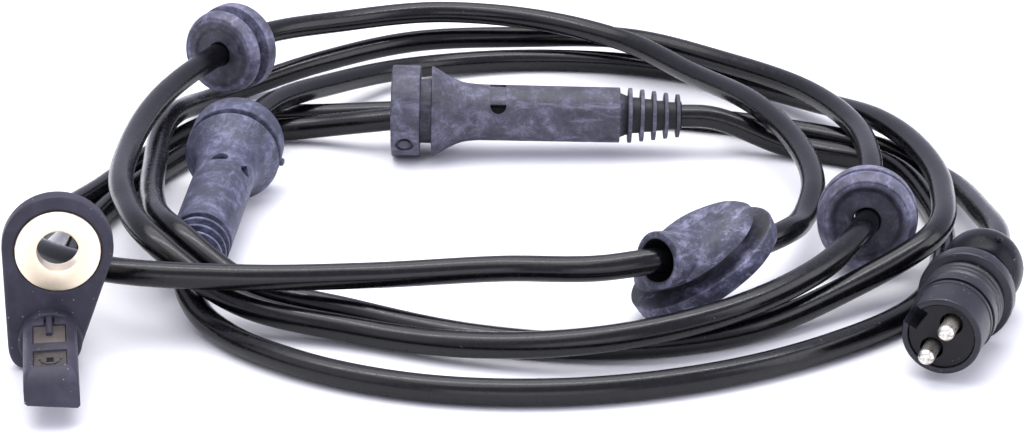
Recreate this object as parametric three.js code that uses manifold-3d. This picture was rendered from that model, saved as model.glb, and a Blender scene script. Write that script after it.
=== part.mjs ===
// A wheel speed sensor with its cable: the bolted sensor head with its bush, nose and electronics,
// one long cable laid in a loose coil, five rubber grommets on it, and a round two-pin connector.
// Millimetres, +Z up. The head stands at the origin, and its nose points along -Y.
import * as THREE from 'three';
import { mergeVertices } from 'three/addons/utils/BufferGeometryUtils.js';
import Module from 'manifold-3d';

const wasm = await Module();
wasm.setup();
const { Manifold } = wasm;

// Driving dimensions
const fit = 0.3; // running gap between two pieces that touch
const cable = { diameter: 5.2, sides: 10 };
const cableHole = cable.diameter / 2 + fit; // radius of a hole that the cable passes through

const flange = {
  width: 20.8, topCentre: 24.4, front: 5, thickness: 3.4,
  footRight: 2.8, footHeight: 2.6, corner: 5,
};
const bush = { outer: 16.3, bore: 8.2, height: 23.9, proud: 0.3, rim: 0.4 };
const nose = {
  centre: -2.4, width: 10, bottom: 4.1, top: 11.5, length: 27, bevelBack: 2.4, bevelDrop: 2.5,
  bossRadius: 6, bossLength: 2.2, bossHeight: 6.3, wall: 1.4, roof: 1.2,
  ribRadius: 0.7, ribReach: 10, ribRise: 0.45,
};
const firstWindow = { front: 13.3, back: 5.4 }; // distances forward of the flange's face
const secondWindow = { front: 23.6, back: 17 };
const windowWidth = 6.2;
const rearBlock = { width: 11, bottom: 2, height: 11, depth: 6.1 };
const cableExitHeight = 7.5;
const cableEndDepth = 4.6; // how far behind the flange's rear face the jacket begins
const gland = { length: 7.2, rootRadius: 4.6, tipRadius: 3.9, ringDepth: 0.45, rings: 3 };

const chip = { width: 4.4, thickness: 1.3, height: 2.4 };
const magnet = { width: 4.4, length: 4.6, height: 2.6 };
const lead = { pitch: 2.6, width: 0.8, thickness: 0.5, barrel: 1.8, barrelLength: 3.6 };
const core = { radius: 0.75 };

const roundGrommet = {
  radius: 10.2, frontFlange: 3.6, groove: 2, rearFlange: 4.4, grooveRadius: 7.6,
  recessRadius: 5.6, recessDepth: 1.8, edge: 0.9,
};
const barrelGrommet = {
  flangeRadius: 10.25, flange: 6.4, groove: 2.6, grooveRadius: 7.2, bell: 8.4, barrelRadius: 6.3,
  barrel: 34, ribs: 5, ribPitch: 2.7, ribWidth: 0.9, ribRadius: 6.2, lastRibRadius: 4.9,
  mouthRadius: 7.1, throat: 18, edge: 0.6, hole: 1.9,
};
const slantedGrommet = {
  frontLength: 13.6, frontWidth: 9, rearLength: 16.1, rearWidth: 9.8, // half lengths and widths
  frontFlange: 4.4, groove: 1.8, rearFlange: 4.6, grooveInset: 2, edge: 0.9, dome: 3,
  tilt: 49, twist: -32, collarRadius: 5.7, length: 26.4, centre: 14.4,
  mouthRadius: 4.7, mouthDepth: 6, rearMouthRadius: 5.3, rearMouthDepth: 12,
};
const connector = {
  length: 38.7, roll: 57.6, bootBack: 3, bootFront: 9.5, bootRadius: 8.1, bootCavity: 5.2,
  spigotBack: 4, spigotRadius: 4.9, waistRadius: 6.7, flangeBack: 15.5, flangeFront: 19,
  flangeRadius: 9.25, barrelRadius: 7.7, sealBack: 19.8, sealFront: 25.4, grooveRadius: 6.7,
  sealRadius: 8.1, ringFront: 28.6, ringRadius: 8, lineWidth: 1, lineDepth: 0.35,
  boreRadius: 3.6, socketBack: 22, socketRadius: 6.4, faceDrop: 0.6, cableDepth: 8,
  keyWidth: 3.6, keyDepth: 5.4, keyFloor: 4.7,
};
const pin = { radius: 1.5, pitch: 6.4, reach: 5.6, well: 0.7, wellDepth: 3, tail: 14.5 };

// Where each piece on the cable sits: its first end, and a point that it faces along its own axis
const seats = {
  roundLeft: { at: [38, 136.9, 16.6], toward: [44, 145, 16.4] },
  roundRight: { at: [161.3, 22.6, 12.3], toward: [164.2, 32.1, 10.7] },
  barrelLeft: { at: [39.6, 96.3, 10.4], toward: [28.5, 46.2, 7.6] },
  barrelBack: { at: [75.1, 109.6, 10.5], toward: [139.6, 99.9, 9] },
  slanted: { at: [135.3, 18.1, 10.8], toward: [111.1, 1, 15.9], roll: 10 },
  connector: { at: [181.2, 5.8, 9.5], toward: [161.8, -27.7, 9.5], roll: connector.roll },
};

const colours = {
  housing: 0x45434a, brass: 0xd9b978, carrier: 0x5f5650, chip: 0x1c1c20, magnet: 0x8d9096,
  copper: 0xb87b4b, whiteWire: 0xd8d6cf, blackWire: 0x1a1a1c, cable: 0x121216,
  paleRubber: 0x64657a, darkRubber: 0x43434f, shell: 0x2c2c33, seal: 0x18181b, tin: 0xc9c6bd,
};

function material(colour, roughness, metalness = 0) {
  return new THREE.MeshStandardMaterial({ color: colour, roughness, metalness });
}

const materials = {
  housing: material(colours.housing, 0.55),
  brass: material(colours.brass, 0.28, 1),
  carrier: material(colours.carrier, 0.5),
  chip: material(colours.chip, 0.4),
  magnet: material(colours.magnet, 0.35, 1),
  copper: material(colours.copper, 0.35, 1),
  whiteWire: material(colours.whiteWire, 0.5),
  blackWire: material(colours.blackWire, 0.5),
  cable: material(colours.cable, 0.25),
  paleRubber: material(colours.paleRubber, 0.8),
  darkRubber: material(colours.darkRubber, 0.8),
  shell: material(colours.shell, 0.4),
  seal: material(colours.seal, 0.5),
  tin: material(colours.tin, 0.3, 1),
};

// Solids and booleans
function solid(geometry) {
  const plain = geometry.index ? geometry.clone() : mergeVertices(geometry);
  for (const name of Object.keys(plain.attributes)) {
    if (name !== 'position') plain.deleteAttribute(name);
  }
  const merged = mergeVertices(plain, 1e-4);
  return new Manifold(new wasm.Mesh({
    numProp: 3,
    vertProperties: new Float32Array(merged.attributes.position.array),
    triVerts: new Uint32Array(merged.index.array),
  }));
}

function geometryOf(manifold) {
  const mesh = manifold.getMesh();
  const geometry = new THREE.BufferGeometry();
  geometry.setAttribute('position', new THREE.BufferAttribute(new Float32Array(mesh.vertProperties), 3));
  geometry.setIndex(new THREE.BufferAttribute(new Uint32Array(mesh.triVerts), 1));
  geometry.computeVertexNormals();
  return geometry;
}

function box(x0, x1, y0, y1, z0, z1) {
  const geometry = new THREE.BoxGeometry(x1 - x0, y1 - y0, z1 - z0);
  geometry.translate((x0 + x1) / 2, (y0 + y1) / 2, (z0 + z1) / 2);
  return solid(geometry);
}

// A profile of [along, radius] points, turned round the local Z axis. It goes up the outside first.
// A profile with no point on the axis is a ring, and it closes on itself.
function revolve(profile, segments = 32) {
  const points = profile.map(([along, radius]) => new THREE.Vector2(radius, along));
  if (profile[0][1] > 0) points.push(points[0].clone());
  const geometry = new THREE.LatheGeometry(points, segments);
  geometry.rotateX(Math.PI / 2);
  return solid(geometry);
}

function rod(radius, from, to, segments = 16) {
  return revolve([[from, 0], [from, radius], [to, radius], [to, 0]], segments);
}

// A rod along the Y axis, from one distance to another
function rodAlongY(radius, x, z, from, to, segments = 24) {
  return rod(radius, -to, -from, segments).rotate([90, 0, 0]).translate([x, 0, z]);
}

// The direction of a seat, and points at distances along it
function seatDirection(seat) {
  return new THREE.Vector3(...seat.toward).sub(new THREE.Vector3(...seat.at)).normalize();
}

function pointAlong(seat, distance) {
  return new THREE.Vector3(...seat.at).addScaledVector(seatDirection(seat), distance);
}

// Sensor head
function flangeOutline() {
  const radius = flange.width / 2;
  const reach = new THREE.Vector2(flange.footRight, flange.footHeight - flange.topCentre);
  const tangent = reach.angle() - 2 * Math.PI + Math.acos(radius / reach.length());
  const shape = new THREE.Shape();
  shape.moveTo(-radius + flange.corner * 0.8, 0);
  shape.quadraticCurveTo(-radius, 0, -radius, flange.corner);
  shape.absarc(0, flange.topCentre, radius, Math.PI, tangent, true);
  shape.lineTo(flange.footRight, flange.footHeight);
  shape.quadraticCurveTo(flange.footRight - 0.4, 0, flange.footRight - flange.corner, 0);
  shape.closePath();
  return shape;
}

function flangePlate() {
  const options = { depth: flange.thickness, bevelEnabled: false, curveSegments: 20 };
  const geometry = new THREE.ExtrudeGeometry(flangeOutline(), options);
  geometry.rotateX(Math.PI / 2);
  geometry.translate(0, flange.front + flange.thickness, 0);
  return solid(geometry);
}

function noseBody() {
  const tip = flange.front - nose.length;
  const shape = new THREE.Shape();
  shape.moveTo(flange.front + 1, nose.bottom);
  shape.lineTo(flange.front + 1, nose.top);
  shape.lineTo(tip + nose.bevelBack, nose.top);
  shape.lineTo(tip, nose.top - nose.bevelDrop);
  shape.lineTo(tip, nose.bottom);
  shape.closePath();
  const geometry = new THREE.ExtrudeGeometry(shape, { depth: nose.width, bevelEnabled: false });
  const turn = new THREE.Matrix4().makeBasis(
    new THREE.Vector3(0, 1, 0), new THREE.Vector3(0, 0, 1), new THREE.Vector3(1, 0, 0),
  );
  geometry.applyMatrix4(turn);
  geometry.translate(nose.centre - nose.width / 2, 0, 0);
  return solid(geometry);
}

// The hollow of the nose, from the tip's wall to the room behind the flange
const hollow = {
  left: nose.centre - nose.width / 2 + nose.wall,
  right: nose.centre + nose.width / 2 - nose.wall,
  front: flange.front - nose.length + nose.wall + 2.2,
  back: flange.front + 3,
  bottom: nose.bottom + 1.2,
  top: nose.top - nose.roof,
};
const flangeBack = flange.front + flange.thickness;
const blockBack = flangeBack + rearBlock.depth;
const jacketStart = flangeBack + cableEndDepth;
const wireRoom = { half: lead.pitch / 2 + core.radius + 0.6, bottom: hollow.bottom, top: 9.6 };

function window(size) {
  const half = windowWidth / 2;
  return box(
    nose.centre - half, nose.centre + half, flange.front - size.front, flange.front - size.back,
    hollow.top - 0.5, nose.top + 1,
  );
}

function locatingRib() {
  const front = flange.front - nose.ribReach;
  const height = nose.top + nose.ribRise;
  const stem = rodAlongY(nose.ribRadius, nose.centre, height, front, flange.front + 1, 12);
  const end = solid(new THREE.SphereGeometry(nose.ribRadius, 12, 8));
  return stem.add(end.translate([nose.centre, front, height]));
}

function sensorHousing() {
  const block = box(
    nose.centre - rearBlock.width / 2, nose.centre + rearBlock.width / 2, flangeBack - 1, blockBack,
    rearBlock.bottom, rearBlock.bottom + rearBlock.height,
  );
  const boss = rodAlongY(
    nose.bossRadius, nose.centre, nose.bossHeight, flange.front - nose.bossLength, flange.front + 1, 32,
  );
  const body = flangePlate().add(noseBody()).add(boss).add(block).add(locatingRib());
  const bushHole = rodAlongY(bush.outer / 2 + fit, 0, bush.height, flange.front - 1, flangeBack + 1, 40);
  const room = box(hollow.left, hollow.right, hollow.front, hollow.back, hollow.bottom, hollow.top);
  const wires = box(
    nose.centre - wireRoom.half, nose.centre + wireRoom.half, hollow.back - 1, jacketStart - fit,
    wireRoom.bottom, wireRoom.top,
  );
  const socket = rodAlongY(cableHole, nose.centre, cableExitHeight, jacketStart - 2 * fit, blockBack + 1);
  return body.subtract(bushHole).subtract(room).subtract(window(firstWindow))
    .subtract(window(secondWindow)).subtract(wires).subtract(socket);
}

function mountingBush() {
  const outer = bush.outer / 2;
  const bore = bush.bore / 2;
  const length = flange.thickness + 2 * bush.proud;
  const ring = revolve([
    [0, bore + bush.rim], [0, outer - bush.rim], [bush.rim, outer], [length - bush.rim, outer],
    [length, outer - bush.rim], [length, bore + bush.rim], [length - bush.rim, bore], [bush.rim, bore],
  ], 40);
  return ring.rotate([90, 0, 0]).translate([0, flangeBack + bush.proud, bush.height]);
}

// The carrier holds the chip and the magnet in pockets that open downwards
const carrier = {
  front: hollow.front + fit,
  back: flange.front - 2.4,
  bottom: hollow.bottom + lead.thickness + 2 * fit,
  top: hollow.top - fit,
};
const chipFront = carrier.front + 0.9;
const magnetFront = chipFront + chip.thickness + 1.6;

function windowPad(size) {
  const half = windowWidth / 2 - fit;
  return box(
    nose.centre - half, nose.centre + half, flange.front - size.front + fit,
    flange.front - size.back - fit, carrier.top - 0.5, nose.top - 0.5,
  );
}

function pocket(width, front, length, height) {
  return box(
    nose.centre - width / 2 - fit, nose.centre + width / 2 + fit, front - fit, front + length + fit,
    carrier.bottom - 1, carrier.bottom + height + fit,
  );
}

function sensorCarrier() {
  const block = box(
    hollow.left + fit, hollow.right - fit, carrier.front, carrier.back, carrier.bottom, carrier.top,
  );
  return block.add(windowPad(firstWindow)).add(windowPad(secondWindow))
    .subtract(pocket(chip.width, chipFront, chip.thickness, chip.height))
    .subtract(pocket(magnet.width, magnetFront, magnet.length, magnet.height));
}

function sensingChip() {
  return box(
    nose.centre - chip.width / 2, nose.centre + chip.width / 2, chipFront, chipFront + chip.thickness,
    carrier.bottom, carrier.bottom + chip.height,
  );
}

function biasMagnet() {
  return box(
    nose.centre - magnet.width / 2, nose.centre + magnet.width / 2, magnetFront,
    magnetFront + magnet.length, carrier.bottom, carrier.bottom + magnet.height,
  );
}

// Each lead is a flat strip under the carrier that ends in a crimp barrel behind it
const barrelFront = carrier.back + 2 * fit;

function signalLead(side) {
  const x = nose.centre + side * lead.pitch / 2;
  const bottom = hollow.bottom + fit;
  const strip = box(
    x - lead.width / 2, x + lead.width / 2, chipFront, barrelFront + 0.5, bottom, bottom + lead.thickness,
  );
  const barrel = box(
    x - lead.barrel / 2, x + lead.barrel / 2, barrelFront, barrelFront + lead.barrelLength, bottom,
    bottom + lead.barrel,
  );
  return strip.add(barrel);
}

function wireCore(side) {
  const x = nose.centre + side * lead.pitch / 2;
  const front = barrelFront + lead.barrelLength + fit;
  return rodAlongY(core.radius, x, cableExitHeight - 0.6, front, jacketStart - fit, 12);
}

function cableGland() {
  const steps = [];
  const pitch = gland.length / (gland.rings + 0.5);
  const slope = (gland.rootRadius - gland.tipRadius) / gland.length;
  for (let i = 0; i < gland.rings; i += 1) {
    const start = i * pitch;
    const radius = gland.rootRadius - slope * start;
    steps.push([start, radius], [start + pitch * 0.6, radius]);
    steps.push([start + pitch * 0.6, radius - gland.ringDepth], [start + pitch, radius - gland.ringDepth]);
  }
  steps.push([gland.rings * pitch, gland.tipRadius], [gland.length, gland.tipRadius]);
  steps.push([gland.length, cableHole], [0, cableHole]);
  return revolve(steps, 28).rotate([-90, 0, 0])
    .translate([nose.centre, blockBack + fit, cableExitHeight]);
}

// Grommets
function roundGrommetBody() {
  const g = roundGrommet;
  const length = g.frontFlange + g.groove + g.rearFlange;
  return revolve([
    [0, g.recessRadius], [0, g.radius - g.edge], [g.edge, g.radius], [g.frontFlange, g.radius],
    [g.frontFlange, g.grooveRadius], [g.frontFlange + g.groove, g.grooveRadius],
    [g.frontFlange + g.groove, g.radius], [length - g.edge, g.radius], [length, g.radius - g.edge],
    [length, cableHole], [g.recessDepth, cableHole], [g.recessDepth, g.recessRadius],
  ], 36);
}

const ribsLength = barrelGrommet.ribs * barrelGrommet.ribPitch + 0.4;
const barrelStart = barrelGrommet.flange + barrelGrommet.groove + barrelGrommet.bell;
const barrelGrommetLength = barrelStart + barrelGrommet.barrel + ribsLength;

function ribProfile(start) {
  const g = barrelGrommet;
  const neck = 1.1;
  const points = [];
  for (let i = 0; i < g.ribs; i += 1) {
    const radius = g.ribRadius + (g.lastRibRadius - g.ribRadius) * i / (g.ribs - 1);
    const from = start + (i + 1) * g.ribPitch - g.ribWidth;
    points.push([from, radius - neck], [from, radius], [from + g.ribWidth, radius]);
    points.push([from + g.ribWidth, radius - neck]);
  }
  return points;
}

// The bell is open at the flange's face and narrows to the cable at its throat
function barrelGrommetBody(holes) {
  const g = barrelGrommet;
  const bellStart = g.flange + g.groove;
  const ribsStart = barrelStart + g.barrel;
  const neckRadius = g.ribRadius - 1.1;
  const body = revolve([
    [0, g.mouthRadius], [0, g.flangeRadius - g.edge], [g.edge, g.flangeRadius],
    [g.flange, g.flangeRadius], [g.flange, g.grooveRadius], [bellStart, g.grooveRadius],
    [bellStart, g.flangeRadius], [bellStart + g.bell * 0.5, g.barrelRadius + 1.6],
    [barrelStart, g.barrelRadius], [ribsStart, g.barrelRadius], [ribsStart, neckRadius],
    ...ribProfile(ribsStart),
    [barrelGrommetLength, g.lastRibRadius - 1.1], [barrelGrommetLength, cableHole],
    [g.throat, cableHole], [g.flange, g.mouthRadius - 0.8],
  ], 28);
  return holes.reduce((part, { along, turn }) => {
    const drill = rod(g.hole, cableHole - 0.4, g.barrelRadius + 3, 12).rotate([90, 0, turn]);
    return part.subtract(drill.translate([0, 0, along]));
  }, body);
}

// A round plate with a profile of its own, narrowed to an oval
function ovalPlate(profile, halfLength, halfWidth) {
  return revolve(profile, 40).scale([halfWidth / halfLength, 1, 1]);
}

function slantedGrommetBody() {
  const g = slantedGrommet;
  const half = (g.frontFlange + g.groove + g.rearFlange) / 2;
  const grooveBack = -half + g.rearFlange;
  const grooveFront = grooveBack + g.groove;
  const inner = g.frontLength - g.grooveInset;
  const rear = ovalPlate([
    [-half, 0], [-half, g.rearLength - g.edge], [-half + g.edge, g.rearLength],
    [grooveBack, g.rearLength], [grooveBack, 0],
  ], g.rearLength, g.rearWidth);
  const core = ovalPlate([
    [grooveBack - 1, 0], [grooveBack - 1, inner], [grooveFront + 1, inner], [grooveFront + 1, 0],
  ], g.frontLength, g.frontWidth);
  const front = ovalPlate([
    [grooveFront, 0], [grooveFront, g.frontLength], [half - 0.5 * g.dome, g.frontLength - 0.5 * g.dome],
    [half - 0.15 * g.dome, g.frontLength - 1.2 * g.dome], [half, g.frontLength - 2 * g.dome], [half, 0],
  ], g.frontLength, g.frontWidth);
  const plates = rear.add(core).add(front).rotate([0, 0, g.twist]).rotate([-g.tilt, 0, 0])
    .translate([0, 0, g.centre]);
  const collar = rod(g.collarRadius, g.centre, g.length, 28);
  const bore = rod(cableHole, -g.length, 2 * g.length, 20);
  const mouth = rod(g.mouthRadius, g.length - g.mouthDepth, g.length + 1, 24);
  const rearMouth = rod(g.rearMouthRadius, -g.length, g.rearMouthDepth, 24);
  return plates.add(collar).subtract(bore).subtract(mouth).subtract(rearMouth);
}

// Connector, built along local Z from its rear to its front face
function keySlot() {
  const c = connector;
  return box(
    -c.keyWidth / 2, c.keyWidth / 2, c.keyFloor, c.ringRadius + 1, c.length - c.keyDepth, c.length + 1,
  );
}

function connectorShell() {
  const c = connector;
  const line = c.ringFront;
  return revolve([
    [c.spigotBack, c.boreRadius], [c.spigotBack, c.spigotRadius], [c.bootFront + fit, c.spigotRadius],
    [c.bootFront + fit, c.waistRadius], [c.flangeBack, c.waistRadius],
    [c.flangeBack, c.flangeRadius - 0.4], [c.flangeBack + 0.4, c.flangeRadius],
    [c.flangeFront - 0.6, c.flangeRadius], [c.flangeFront, c.flangeRadius - 0.6],
    [c.sealBack - fit, c.barrelRadius], [c.sealBack - fit, c.grooveRadius],
    [c.sealFront + fit, c.grooveRadius], [c.sealFront + fit, c.ringRadius], [line, c.ringRadius],
    [line, c.barrelRadius - c.lineDepth], [line + c.lineWidth, c.barrelRadius - c.lineDepth],
    [line + c.lineWidth, c.barrelRadius], [c.length - 0.5, c.barrelRadius],
    [c.length, c.barrelRadius - 0.5], [c.length, c.socketRadius], [c.socketBack, c.socketRadius],
    [c.socketBack, c.boreRadius],
  ], 40).subtract(keySlot());
}

function connectorSeal() {
  const c = connector;
  const inner = c.grooveRadius + fit;
  return revolve([
    [c.sealBack, inner], [c.sealBack, c.sealRadius - 0.5], [c.sealBack + 1, c.sealRadius],
    [c.sealBack + 2, c.sealRadius - 0.4], [c.sealFront - 2, c.sealRadius - 0.4],
    [c.sealFront - 1, c.sealRadius], [c.sealFront, c.sealRadius - 0.5], [c.sealFront, inner],
  ], 36);
}

function connectorBoot() {
  const c = connector;
  const nub = solid(new THREE.SphereGeometry(0.8, 12, 8));
  const back = -c.bootBack;
  const body = revolve([
    [back, cableHole], [back, 4.4], [back + 0.9, 5.9], [back + 2.6, 7.2], [back + 5, c.bootRadius - 0.2],
    [back + 7.2, c.bootRadius], [back + 9.4, c.bootRadius - 0.2], [back + 11, c.bootRadius - 0.8],
    [c.bootFront, c.waistRadius], [c.bootFront, c.bootCavity], [c.spigotBack - fit, c.bootCavity],
    [c.spigotBack - fit, cableHole],
  ], 36);
  const turn = THREE.MathUtils.degToRad(8);
  const out = c.bootRadius - 0.1;
  return body.add(nub.translate([Math.cos(turn) * out, Math.sin(turn) * out, c.bootFront - 4]));
}

const insulatorBack = connector.socketBack + fit;
const insulatorFront = connector.length - connector.faceDrop;

function pinInsulator() {
  const radius = connector.socketRadius - fit;
  let body = rod(radius, insulatorBack, insulatorFront, 36).subtract(keySlot());
  for (const side of [-1, 1]) {
    const x = side * pin.pitch / 2;
    const hole = rod(pin.radius + fit, insulatorBack - 1, insulatorFront + 1, 20);
    const well = rod(pin.radius + pin.well, insulatorFront - pin.wellDepth, insulatorFront + 1, 20);
    body = body.subtract(hole.translate([x, 0, 0])).subtract(well.translate([x, 0, 0]));
  }
  return body;
}

function contactPin(side) {
  const tip = insulatorFront + pin.reach;
  const body = revolve([
    [tip - pin.tail - pin.reach, 0], [tip - pin.tail - pin.reach, pin.radius],
    [tip - 0.5, pin.radius], [tip, pin.radius - 0.5], [tip, 0],
  ], 20);
  return body.translate([side * pin.pitch / 2, 0, 0]);
}

// The wires spread from the cable's end to the pins, one straight piece each
function connectorWire(side) {
  const start = new THREE.Vector3(side * 1.2, 0, connector.cableDepth + fit + 0.2);
  const end = new THREE.Vector3(side * 2.4, 0, insulatorBack - 2 * fit);
  const path = new THREE.LineCurve3(start, end);
  const section = new THREE.Shape().absarc(0, 0, core.radius, 0, 2 * Math.PI, false);
  const options = { steps: 1, extrudePath: path, curveSegments: 6 };
  return solid(new THREE.ExtrudeGeometry(section, options));
}

// The cable's route in millimetres, from the sensor's socket to the connector
const head = { at: [nose.centre, jacketStart, cableExitHeight], toward: [nose.centre, 99, cableExitHeight] };
const glandEnd = rearBlock.depth - cableEndDepth + gland.length + fit;
const collarEnd = slantedGrommet.length;
const grommetDepth = roundGrommet.frontFlange + roundGrommet.groove + roundGrommet.rearFlange;
const straight = 5; // the cable stays straight for this long past a grommet's small end

const route = [
  pointAlong(head, 0), pointAlong(head, glandEnd), [1.2, 47, 3.1], [7.2, 72.5, 2.7], [20.7, 97.5, 2.8],
  [33.2, 113.8, 2.9], [42.5, 120.4, 2.9], [55.2, 120.4, 3.5], [70.2, 114, 6.6],
  pointAlong(seats.barrelBack, barrelGrommet.throat), pointAlong(seats.barrelBack, 42),
  pointAlong(seats.barrelBack, barrelGrommetLength),
  pointAlong(seats.barrelBack, barrelGrommetLength + straight),
  [162.2, 94, 3.1], [181.2, 78, 3.2], [184.2, 52.5, 2.8], [178.7, 25.5, 2.7], [165.7, 1, 2.7],
  [143.7, -14.5, 2.7], [117.7, -24, 2.7], [90.2, -26, 2.7], [63.7, -19.5, 2.7], [41.2, -4, 2.8],
  [31.2, 8.5, 2.9], [26.2, 19, 3.9],
  pointAlong(seats.barrelLeft, barrelGrommetLength + straight),
  pointAlong(seats.barrelLeft, barrelGrommetLength), pointAlong(seats.barrelLeft, 42),
  pointAlong(seats.barrelLeft, barrelGrommet.throat),
  [48.7, 118.5, 10.5], [65.2, 140, 7.1], [85.2, 157, 4], [110.7, 162.5, 2.8], [136.7, 156.5, 2.7],
  [158.2, 142, 2.8], [175.2, 118.5, 4.1], [183.7, 91, 8.5], [185.7, 66, 10.3], [182.7, 41, 11],
  [173.2, 17, 10.8], [152.2, 6, 5.3], [130.2, -4.5, 2.9], [104.2, -7.5, 2.7], [79.2, 0, 2.8],
  [56.2, 12.5, 4.3], [34.2, 22.8, 8.4], [23.5, 33, 14.8], [20.2, 43.5, 14.4], [19.4, 58, 12.3],
  [20.7, 84, 9.7], [25.7, 117.5, 8.9],
  [38.7, 147.5, 2.7], [63.2, 161, 5.2], [88.2, 172, 5.7], [114.7, 171, 5.8], [138.7, 156.5, 8.8],
  [157.7, 137, 8.5], [171.7, 115, 8.5], [176.7, 89.5, 8.9], [173.7, 64, 10],
  pointAlong(seats.roundRight, grommetDepth + straight), pointAlong(seats.roundRight, grommetDepth),
  pointAlong(seats.roundRight, roundGrommet.recessDepth - 0.4),
  [147.2, 5, 10.7], [125.7, -8, 8.6], [100.7, -12.5, 6.6], [75.2, -5, 4], [54.7, 6.5, 3.5], [32.7, 16.1, 7.2],
  [18.6, 26.4, 15.9], [13.6, 47.5, 16.9], [15.7, 81.5, 15.7], [25.7, 115, 16.4],
  pointAlong(seats.roundLeft, roundGrommet.recessDepth - 0.4),
  pointAlong(seats.roundLeft, grommetDepth), pointAlong(seats.roundLeft, grommetDepth + straight),
  [69.7, 165, 14.1], [94.7, 171.5, 13.1], [118.2, 165, 11.9], [136.2, 150, 10.6], [147.7, 127, 9.6],
  [156.7, 99, 11.1], [160.2, 74.5, 10.3], [157.2, 49.5, 9.5], [150.7, 34.5, 8.6], [146, 26.8, 9.9],
  pointAlong(seats.slanted, -3), pointAlong(seats.slanted, slantedGrommet.rearMouthDepth + 0.5),
  pointAlong(seats.slanted, collarEnd - slantedGrommet.mouthDepth + 0.3), [113.3, 4, 14.9],
  [104.2, 3.6, 14.3], [85, 10, 12.7], [59.7, 13, 11.7], [33.7, 13, 13], [9.7, 19, 13.7], [-4.3, 37.5, 11.4],
  [-1.8, 65.5, 6.2], [9.2, 90, 3.1], [20.2, 109, 2.8], [39.2, 130.5, 2.7], [65.7, 130.5, 2.7],
  [90.7, 129, 2.7], [116.2, 124.5, 2.7], [141.2, 117, 2.7], [163.7, 105, 2.7], [183.7, 88, 2.7],
  [191.7, 67, 3], [191.2, 42, 6],
  pointAlong(seats.connector, -9), pointAlong(seats.connector, 0),
  pointAlong(seats.connector, connector.cableDepth),
].map((point) => (Array.isArray(point) ? new THREE.Vector3(...point) : point));

// A path that an extrusion follows with one section at each chosen point
class ChosenPoints extends THREE.Curve {
  constructor(points) {
    super();
    this.points = points;
  }

  getPoint(t) {
    const last = this.points.length - 1;
    const i = Math.min(Math.floor(t * last + 1e-9), last - 1);
    return this.points[i].clone().lerp(this.points[i + 1], t * last - i);
  }

  getPointAt(u) {
    return this.getPoint(u);
  }

  getTangentAt(u) {
    const last = this.points.length - 1;
    const i = Math.round(u * last);
    const before = this.points[Math.max(i - 1, 0)];
    const here = this.points[i];
    const after = this.points[Math.min(i + 1, last)];
    const into = here.clone().sub(before).normalize();
    return into.add(after.clone().sub(here).normalize()).normalize();
  }
}

function cableJacket() {
  const section = new THREE.Shape();
  for (let i = 0; i < cable.sides; i += 1) {
    const angle = 2 * Math.PI * i / cable.sides;
    const x = Math.cos(angle) * cable.diameter / 2;
    const y = Math.sin(angle) * cable.diameter / 2;
    if (i === 0) section.moveTo(x, y);
    else section.lineTo(x, y);
  }
  section.closePath();
  const options = { steps: route.length - 1, extrudePath: new ChosenPoints(route) };
  return solid(new THREE.ExtrudeGeometry(section, options));
}

// Placing
function piece(name, manifold, look) {
  const mesh = new THREE.Mesh(geometryOf(manifold), look);
  mesh.name = name;
  return mesh;
}

// A group whose local Z runs along the seat, with local Y upwards before the roll
function onSeat(seat, ...pieces) {
  const group = new THREE.Group();
  const along = seatDirection(seat);
  const across = new THREE.Vector3(0, 0, 1).cross(along).normalize();
  const upwards = along.clone().cross(across);
  group.setRotationFromMatrix(new THREE.Matrix4().makeBasis(across, upwards, along));
  group.rotateZ(THREE.MathUtils.degToRad(seat.roll ?? 0));
  group.position.set(...seat.at);
  group.add(...pieces);
  return group;
}

const part = new THREE.Group();
part.add(
  piece('sensor_housing', sensorHousing(), materials.housing),
  piece('mounting_bush', mountingBush(), materials.brass),
  piece('sensor_carrier', sensorCarrier(), materials.carrier),
  piece('sensing_chip', sensingChip(), materials.chip),
  piece('bias_magnet', biasMagnet(), materials.magnet),
  piece('signal_lead_left', signalLead(-1), materials.copper),
  piece('signal_lead_right', signalLead(1), materials.copper),
  piece('wire_core_left', wireCore(-1), materials.whiteWire),
  piece('wire_core_right', wireCore(1), materials.blackWire),
  piece('cable_gland', cableGland(), materials.seal),
  piece('cable', cableJacket(), materials.cable),
);

const barrelHolesLeft = [{ along: 23.2, turn: 180 }, { along: 24.5, turn: 124 }];
const barrelHolesBack = [{ along: 23.9, turn: 235 }];
part.add(
  onSeat(seats.roundLeft, piece('round_grommet_left', roundGrommetBody(), materials.darkRubber)),
  onSeat(seats.roundRight, piece('round_grommet_right', roundGrommetBody(), materials.darkRubber)),
  onSeat(
    seats.barrelLeft,
    piece('barrel_grommet_left', barrelGrommetBody(barrelHolesLeft), materials.paleRubber),
  ),
  onSeat(
    seats.barrelBack,
    piece('barrel_grommet_back', barrelGrommetBody(barrelHolesBack), materials.darkRubber),
  ),
  onSeat(seats.slanted, piece('slanted_grommet', slantedGrommetBody(), materials.paleRubber)),
  onSeat(
    seats.connector,
    piece('connector_shell', connectorShell(), materials.shell),
    piece('connector_seal', connectorSeal(), materials.seal),
    piece('connector_boot', connectorBoot(), materials.shell),
    piece('pin_insulator', pinInsulator(), materials.shell),
    piece('contact_pin_upper', contactPin(1), materials.tin),
    piece('contact_pin_lower', contactPin(-1), materials.tin),
    piece('connector_wire_upper', connectorWire(1), materials.whiteWire),
    piece('connector_wire_lower', connectorWire(-1), materials.blackWire),
  ),
);

export default part;
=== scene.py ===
# A wheel speed sensor with its coiled cable, rubber grommets and round connector, on a pale floor.
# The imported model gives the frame. This script dresses it with finer shapes and materials.
import math

import bmesh
import bpy
from mathutils import Matrix, Vector, noise


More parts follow.
